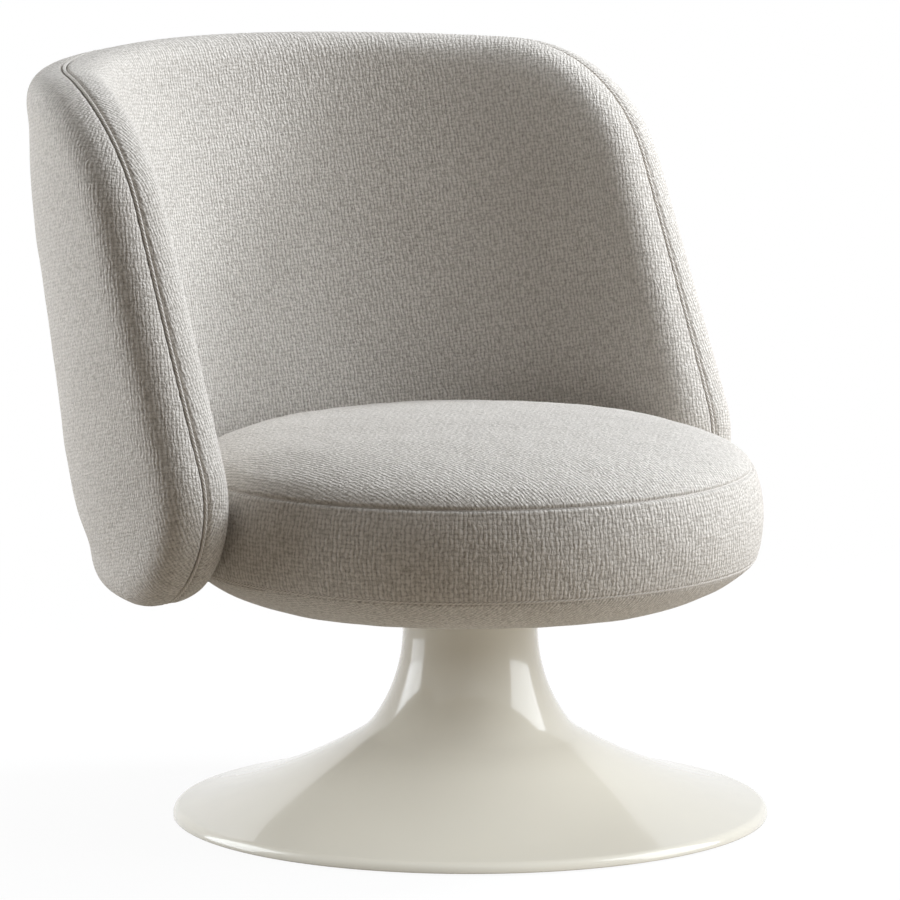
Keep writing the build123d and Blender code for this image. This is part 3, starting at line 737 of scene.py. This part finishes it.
def back_outline(back, count):
    """The rim of the back laid flat: distance round the middle skin and height up the leaning axis.

    The top and bottom edges are where level or sloping planes cut the leaning tube, the front edges are
    straight, and the four corners are round."""
    past_wing = 1.1
    short_of_corner = 0.9999
    edge_steps, corner_steps = np.linspace(0, short_of_corner, 300), 120
    lean, slope, radius = back.lean, back.top_slope, back.radius
    angles = np.linspace(0, back.wing_bottom * past_wing, 600)

    def edge(height, fall):
        middle_up = (height - back.lean_height + radius * np.sin(lean)) / np.cos(lean)
        middle_back = radius * np.cos(lean) + middle_up * np.sin(lean)
        rise = (height - back.lean_height + radius * np.cos(angles) * np.sin(lean)) * np.cos(fall)
        run = (radius * np.cos(angles) * np.cos(lean) - middle_back) * np.sin(fall)
        return np.stack([radius * angles, (rise + run) / np.cos(lean + fall)], axis=-1)

    def wing(angle, height):
        up = (height - back.lean_height + radius * np.cos(angle) * np.sin(lean)) / np.cos(lean)
        return np.array([radius * angle, up])

    top, bottom = edge(back.top, slope), edge(back.bottom, 0)
    wing_high, wing_low = wing(back.wing_top, back.wing_top_height), wing(back.wing_bottom, back.bottom)
    heading = (wing_low - wing_high) / np.linalg.norm(wing_low - wing_high)
    line_inward = np.array([heading[1], -heading[0]])
    down = -outward(top)
    share, spot, foot, line_foot = corner_between(top, down, wing_high, line_inward, back.top_corner)
    low_share, low_spot, low_foot, low_line_foot = corner_between(
        bottom, outward(bottom), wing_high, line_inward, back.bottom_corner)
    half = np.concatenate([
        along(top, edge_steps * share),
        sweep(spot, foot, line_foot, corner_steps),
        sweep(low_spot, low_line_foot, low_foot, corner_steps),
        along(bottom, edge_steps[::-1] * low_share),
    ])
    whole = np.concatenate([half, (half * (-1, 1))[::-1]])
    return along(whole, np.linspace(0, 1, count))


def back_point(back, across, up, out):
    """Point of the leaning back: round its middle skin, up its axis and out from that skin."""
    angle = across / back.radius
    level = (back.radius + out) * np.cos(angle)
    x = (back.radius + out) * np.sin(angle)
    y = level * np.cos(back.lean) + up * np.sin(back.lean)
    z = back.lean_height - level * np.sin(back.lean) + up * np.cos(back.lean)
    return np.stack([x, y, z], axis=-1)


def back_rim(back, count):
    """The flat outline, its outward unit normals and the line half a thickness inside it."""
    rim = back_outline(back, count)
    closed = np.concatenate([rim[-2:-1], rim, rim[1:2]])
    tangent = closed[2:] - closed[:-2]
    tangent /= np.linalg.norm(tangent, axis=1, keepdims=True)
    facing = np.stack([-tangent[:, 1], tangent[:, 0]], axis=-1)
    return rim, facing, rim - back.thickness / 2 * facing


def rim_quarter(back, count):
    """A quarter of the pad's rim from its seam to its skin: reach out from the bone line and height above it.

    It is a superellipse, reach and height to the power of squareness adding up to one, with more points by
    the seam, where the cloth is drawn in."""
    half = back.thickness / 2
    turned = np.linspace(0, np.pi / 2, 400)
    blunt = 2 / back.squareness
    curve = half * np.stack([np.cos(turned) ** blunt, np.sin(turned) ** blunt], axis=-1)
    quarter = along(curve, np.linspace(0, 1, count) ** 1.5)
    far = run_lengths(quarter)
    quarter[:, 0] -= seam_dip(far, *rim_groove)
    return quarter, far


def build_back(back, finish):
    """The back pad: two crowned skins either side of the leaning tube, joined by a rim with a drawn-in seam.

    The crown and the unevenness fade with the sixth power of the way to the rim, and end without a crease."""
    unevenness, wave_length, seed = 0.0008, 0.20, 31
    pucker_size, pucker_reach = 0.0004, 0.012
    rim, facing, bone = back_rim(back, back_points)
    half = back.thickness / 2
    centre = np.array([0.0, (bone[:, 1].max() + bone[:, 1].min()) / 2])
    shares = crowded(skin_rows, 0.35)[:, None]
    flat = centre + shares[..., None] * (bone - centre)
    quarter, far = rim_quarter(back, rim_rows)
    lap = 2 * np.pi * run_lengths(rim)[None, :] / run_lengths(rim)[-1]
    pucker = puckers(far, pucker_size, pucker_reach, stitch_waves(lap, 190, 13, 31))
    bent = bone + (quarter[:, :1] + pucker)[..., None] * facing
    sheets = []
    for side, crown in ((-1, back.inner_crown), (1, back.outer_crown)):
        spread = np.array([(back.radius + side * half) / back.radius, 1.0])
        uneven = unevenness * soft_waves(flat[..., 0], flat[..., 1], wave_length, seed + side)
        swell = (uneven + crown) * (1 - shares**6) ** 2
        skin = back_point(back, flat[..., 0], flat[..., 1], side * (half + swell))
        edge = back_point(back, bent[..., 0], bent[..., 1], side * quarter[:, 1:])
        edge_cloth = bone * spread + (far[-1] - far)[:, None, None] * facing
        grid = np.concatenate([skin, edge[-2::-1]])
        cloth = finish.tight * np.concatenate([flat * spread, edge_cloth[-2::-1]])
        if side < 0:
            grid, cloth = grid[:, ::-1], cloth[:, ::-1]
        sheets.append((stuffed(grid, np.array([len(grid) - 1]), back.swell), cloth))
    piece = add_piece("back_pad", sheets, "seat", "upholstery", woven_cloth(finish),
                      "back_inner_cover", "back_outer_cover", "back_inner_foam", "back_outer_foam")


def build_back_piping(back, finish):
    """The back piping: a tube round the crown of the rim, in the drawn-in seam."""
    small = 1e-4
    rim, facing = back_rim(back, back_piping_points)[:2]
    seam = rim - back.sink * facing
    beyond = seam + small * facing
    path = back_point(back, seam[:, 0], seam[:, 1], 0.0)
    ahead = back_point(back, beyond[:, 0], beyond[:, 1], 0.0) - path
    side = ahead / np.linalg.norm(ahead, axis=1, keepdims=True)
    lifted = back_point(back, seam[:, 0], seam[:, 1], small) - path
    rise = lifted / np.linalg.norm(lifted, axis=1, keepdims=True)
    sheet = tube(path, side, rise, back.piping, finish.rib)
    add_piece("back_piping", [sheet], "seat", "welt_fabric", piping_cloth(finish), "back_welt")


def build_base(base, finish):
    """The trumpet base: neck, three hollow arcs, rounded lip and the inside of the shell, spun round."""
    foot_drop = 0.001
    points_over_lip = 6
    neck = np.array([(base.neck, base.neck_top), (base.neck, base.flare)])
    line = [along(neck, np.linspace(0, 1, 12))]
    slope = np.pi / 2
    for radius, next_slope, count in (
        (base.upper_radius, base.upper_slope, 36),
        (base.middle_radius, base.middle_slope, 28),
        (base.lower_radius, base.lip_slope, 48),
    ):
        heading = (np.cos(slope), -np.sin(slope))
        line.append(arc(line[-1][-1], heading, radius, slope - next_slope, count)[1:])
        slope = next_slope
    heading = (np.cos(slope), -np.sin(slope))
    lip = arc(line[-1][-1], heading, base.lip, slope - np.pi / 2, 24)[1:]
    outer = np.concatenate(line)
    inside = (outer - base.wall * outward(outer))[::-1]
    foot = lip[-1] + (0, -foot_drop)
    under = np.array([foot, (foot[0] - base.wall, foot[1])])
    shell = np.concatenate([outer, lip, under, inside[points_over_lip:], outer[:1]])
    around = np.linspace(0, 2 * np.pi, base_points)[None, :]
    grid = spun(shell[:, None, :], around)
    flat = np.stack(np.broadcast_arrays(around * base.neck, run_lengths(shell)[:, None]), axis=-1)
    lacquer = gloss_lacquer(finish)
    add_piece("lacquered_base", [(grid, flat)], "base", "base_lacquer", lacquer, "trumpet_base")


def finish_metalwork():
    """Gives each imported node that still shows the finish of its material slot."""
    even, pebbled = (0.85, 1.15), (0.8, 1.3)
    finishes = {
        "plywood": beech_ply("beech_plywood"),
        "steel": brushed_metal("turned_steel", (0.56, 0.56, 0.57), 0.32, 60.0),
        "black_steel": matt_grain(
            "black_powder_coat", (0.02, 0.02, 0.02), pebbled, 0.45, 0.6, 1400.0, 2.0, 0.6),
        "bearing_steel": brushed_metal("ground_steel", (0.66, 0.66, 0.68), 0.16, 120.0),
        "bearing_brass": brushed_metal("turned_brass", (0.70, 0.52, 0.24), 0.28, 90.0),
        "bush_plastic": matt_grain("natural_nylon", (0.78, 0.76, 0.70), even, 0.42, 0.58, 500.0),
        "fastener_steel": brushed_metal("zinc_plate", (0.62, 0.63, 0.66), 0.35, 150.0),
        "ring_rubber": matt_grain("black_rubber", (0.025, 0.025, 0.027), even, 0.67, 0.83, 700.0),
        "foam": matt_grain("open_foam", (0.75, 0.72, 0.60), even, 0.82, 0.98, 900.0),
    }
    for subpart in frame["record"]["subparts"]:
        node = frame["nodes"][subpart["node"]]
        if not node.hide_render:
            node.data.materials.clear()
            node.data.materials.append(finishes[subpart["material_slot"]])


def plain_ray_share(wire):
    """1 for rays of the camera, of reflections and through glass, 0 for those that light the chair."""
    path = wire.nodes.new("ShaderNodeLightPath")
    seen = wire.math("MAXIMUM", path.outputs["Is Camera Ray"], path.outputs["Is Glossy Ray"])
    return wire.math("MAXIMUM", seen, path.outputs["Is Transmission Ray"])


def white_floor(half, studio):
    """A wide floor: white to the camera, in reflections and through glass, a dull bounce for other light.

    Far off it glows plain white; by the chair it glows a little less, so that the shadow there shows."""
    drop = 0.0002
    near, far, near_glow = 0.3, 1.8, 0.93
    corner = np.linspace(-half, half, 3)
    across, deep = np.meshgrid(corner, corner, indexing="ij")
    grid = np.stack([across, deep, 0 * across - drop], axis=-1)
    floor = bpy.data.objects.new("studio_floor", sewn_mesh("studio_floor", [(grid, grid[..., :2])]))
    bpy.context.scene.collection.objects.link(floor)
    wire = Wiring("studio_white")
    seen = plain_ray_share(wire)
    place = wire.add("ShaderNodeTexCoord", {}, "Object")
    away = wire.add("ShaderNodeVectorMath", {0: place}, "Value", operation="LENGTH")
    share = wire.math("MULTIPLY", seen, wire.between(away, near, far, near_glow, 1.0, "SMOOTHSTEP"))
    colour = wire.mix(seen, opaque(studio.bounce), (1, 1, 1, 1))
    wire.set(Base_Color=colour, Roughness=0.9, Specular_IOR_Level=0.1)
    glow = wire.add("ShaderNodeEmission", {"Color": (1, 1, 1, 1), "Strength": 1.0})
    both = wire.add("ShaderNodeMixShader", {0: share, 1: wire.shader.outputs[0], 2: glow})
    wire.links.new(both, wire.nodes["Material Output"].inputs["Surface"])
    floor.data.materials.append(wire.material)


def white_world(studio):
    """A world: white to the camera, in reflections and through glass, a weak warm light on the chair."""
    world = bpy.data.worlds.new("studio_world")
    bpy.context.scene.world = world
    wire = Wiring(world.name, world)
    colour = wire.mix(plain_ray_share(wire), opaque(studio.bounce, studio.ambient), (1, 1, 1, 1))
    wire.put(wire.nodes["Background"], "Color", colour)


def soft_light(name, place, aim, width, height, watts, colour):
    """A rectangular softbox at a place, turned to a point and not seen by the camera."""
    lamp = bpy.data.lights.new(name, "AREA")
    lamp.shape = "RECTANGLE"
    lamp.size, lamp.size_y = width, height
    lamp.energy = watts
    lamp.color = colour
    holder = bpy.data.objects.new(name, lamp)
    bpy.context.scene.collection.objects.link(holder)
    holder.location = place
    holder.rotation_euler = (Vector(aim) - Vector(place)).to_track_quat("-Z", "Y").to_euler()
    holder.visible_camera = False
    return holder


def share_light(lamp, pieces, state):
    """Keeps a lamp to some pieces, with the state INCLUDE, or off them, with the state EXCLUDE."""
    group = bpy.data.collections.new(lamp.name + "_pieces")
    lamp.light_linking.receiver_collection = group
    for piece in pieces:
        group.objects.link(piece)
    for member in group.collection_objects:
        member.light_linking.link_state = state


def build_stage(studio):
    """Floor, world, softboxes placed by the camera's own sides, and the camera."""
    level = np.array([np.sin(studio.azimuth), -np.cos(studio.azimuth), 0.0])
    right = np.array([-level[1], level[0], 0.0])
    upward = np.array([0.0, 0.0, 1.0])
    aim = np.array([0.0, 0.0, studio.aim])
    floor_half = 24.0
    white_floor(floor_half, studio)
    white_world(studio)
    base = [bpy.data.objects["lacquered_base"]]
    # Metres to the right, towards the camera and up from the aim, metres wide and high, watts, and how it
    # treats the base: lights it with the rest, EXCLUDE keeps off it, INCLUDE lights it alone
    for name, across, near, up, width, height, watts, state in (
        ("left_softbox", -2.50, -0.50, 0.85, 1.6, 2.0, 22, None),
        ("left_strip", -1.25, -0.15, 0.13, 0.7, 1.0, 7, None),
        ("right_softbox", 2.60, 0.10, 1.15, 2.2, 2.6, 89, None),
        ("right_key", 2.20, -1.35, 2.05, 0.7, 0.7, 84, "EXCLUDE"),
        ("top_softbox", 0.0, -0.40, 2.90, 1.6, 1.6, 17, None),
        ("base_softbox", 0.5, 2.40, 1.50, 1.8, 1.8, 47, "INCLUDE"),
    ):
        place = aim + across * right + near * level + up * upward
        lamp = soft_light(name, place, aim, width, height, watts, studio.light)
        if state:
            share_light(lamp, base, state)
        lamp.visible_glossy = state != "INCLUDE"
    back = level * np.cos(studio.elevation) + upward * np.sin(studio.elevation)
    lens = bpy.data.cameras.new("camera")
    lens.lens = studio.lens
    lens.shift_x = studio.shift
    lens.clip_end = 200
    camera = bpy.data.objects.new("camera", lens)
    bpy.context.scene.collection.objects.link(camera)
    camera.location = aim + studio.distance * back
    camera.rotation_euler = Vector(-back).to_track_quat("-Z", "Y").to_euler()
    bpy.context.scene.camera = camera
    bpy.context.scene.view_settings.view_transform = "Standard"


class ARMCHAIR_OT_base(bpy.types.Operator):
    """Makes the lacquered trumpet base"""

    bl_idname = "armchair.base"
    bl_label = "Lacquered base"

    def execute(self, context):
        build_base(context.scene.armchair_base, context.scene.armchair_finish)
        return {"FINISHED"}


class ARMCHAIR_OT_seat(bpy.types.Operator):
    """Makes the round seat cushion"""

    bl_idname = "armchair.seat"
    bl_label = "Seat cushion"

    def execute(self, context):
        build_seat(context.scene.armchair_seat, context.scene.armchair_finish)
        return {"FINISHED"}


class ARMCHAIR_OT_back(bpy.types.Operator):
    """Makes the padded wrap-around back"""

    bl_idname = "armchair.back"
    bl_label = "Back pad"

    def execute(self, context):
        build_back(context.scene.armchair_back, context.scene.armchair_finish)
        return {"FINISHED"}


class ARMCHAIR_OT_piping(bpy.types.Operator):
    """Makes the piping in the seams of the seat and the back"""

    bl_idname = "armchair.piping"
    bl_label = "Piping"

    def execute(self, context):
        build_seat_piping(context.scene.armchair_seat, context.scene.armchair_finish)
        build_back_piping(context.scene.armchair_back, context.scene.armchair_finish)
        return {"FINISHED"}


class ARMCHAIR_OT_metalwork(bpy.types.Operator):
    """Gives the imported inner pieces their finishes"""

    bl_idname = "armchair.metalwork"
    bl_label = "Inner pieces"

    def execute(self, context):
        finish_metalwork()
        return {"FINISHED"}


class ARMCHAIR_OT_stage(bpy.types.Operator):
    """Makes the floor, the light and the camera"""

    bl_idname = "armchair.stage"
    bl_label = "Studio"

    def execute(self, context):
        build_stage(context.scene.armchair_studio)
        return {"FINISHED"}


operators = (
    ARMCHAIR_OT_base,
    ARMCHAIR_OT_seat,
    ARMCHAIR_OT_back,
    ARMCHAIR_OT_piping,
    ARMCHAIR_OT_metalwork,
    ARMCHAIR_OT_stage,
)

settings = {
    "armchair_seat": ArmchairSeat,
    "armchair_back": ArmchairBack,
    "armchair_base": ArmchairBase,
    "armchair_finish": ArmchairFinish,
    "armchair_studio": ArmchairStudio,
}


class ARMCHAIR_PT_panel(bpy.types.Panel):
    """Lists the armchair's pieces"""

    bl_idname = "ARMCHAIR_PT_panel"
    bl_label = "Swivel armchair"
    bl_space_type = "VIEW_3D"
    bl_region_type = "UI"
    bl_category = "Armchair"

    def draw(self, context):
        for operator in operators:
            self.layout.operator(operator.bl_idname)
        for name, kind in settings.items():
            box = self.layout.box()
            for key in kind.__annotations__:
                box.prop(getattr(context.scene, name), key)


def register():
    """Registers the settings, the operators and the panel."""
    for name, kind in settings.items():
        bpy.utils.register_class(kind)
        setattr(bpy.types.Scene, name, PointerProperty(type=kind))
    for operator in operators:
        bpy.utils.register_class(operator)
    bpy.utils.register_class(ARMCHAIR_PT_panel)


def unregister():
    """Takes away what register added."""
    bpy.utils.unregister_class(ARMCHAIR_PT_panel)
    for operator in reversed(operators):
        bpy.utils.unregister_class(operator)
    for name, kind in settings.items():
        delattr(bpy.types.Scene, name)
        bpy.utils.unregister_class(kind)


def main():
    """Makes every piece in order."""
    register()
    bpy.ops.armchair.base()
    bpy.ops.armchair.seat()
    bpy.ops.armchair.back()
    bpy.ops.armchair.piping()
    bpy.ops.armchair.metalwork()
    bpy.ops.armchair.stage()
    bpy.context.view_layer.update()


if __name__ == "__main__":
    main()
